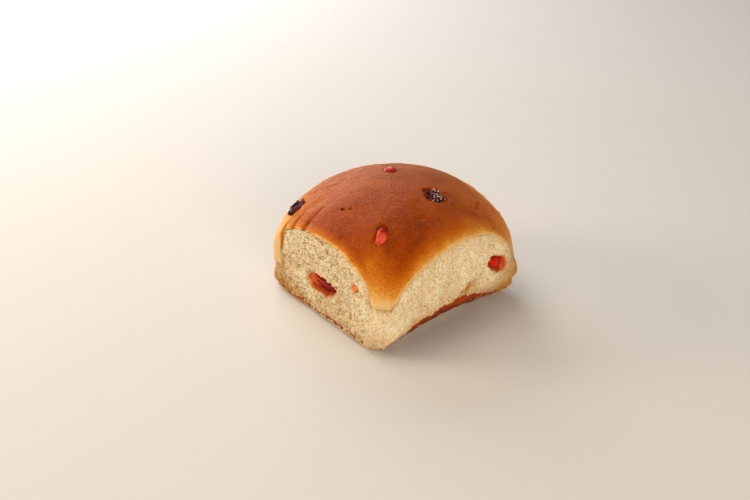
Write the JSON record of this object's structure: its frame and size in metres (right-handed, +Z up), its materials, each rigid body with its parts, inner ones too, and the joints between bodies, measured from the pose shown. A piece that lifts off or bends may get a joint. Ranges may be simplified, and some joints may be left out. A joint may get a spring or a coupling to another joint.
{
  "type": "butterscotch bun",
  "caption": "Soft square-shouldered sweet bun with a domed brown skin, torn crumb sides, a flat base, and raisins and candied cherry pieces set into it.",
  "frame": {"origin": "middle of the flat base, on the surface the bun rests on, midway between the torn sides", "axes": "+Z up through the crown; -Y is the torn side seen at the front left, +X the torn side seen at the front right"},
  "size_m": [0.081, 0.081, 0.0533],
  "materials": {
    "baked_dough": "baked bread: satin brown skin over soft cream crumb",
    "raisin": "wrinkled and glossy",
    "candied_cherry": "moist and glossy"
  },
  "bodies": {
    "root": {"bun": "baked_dough", "raisin_left": "raisin", "raisin_right": "raisin", "cherry_front": "candied_cherry", "cherry_back": "candied_cherry", "cherry_left_face": "candied_cherry", "cherry_left_small": "candied_cherry", "cherry_right_face": "candied_cherry"}
  },
  "joints": []
}
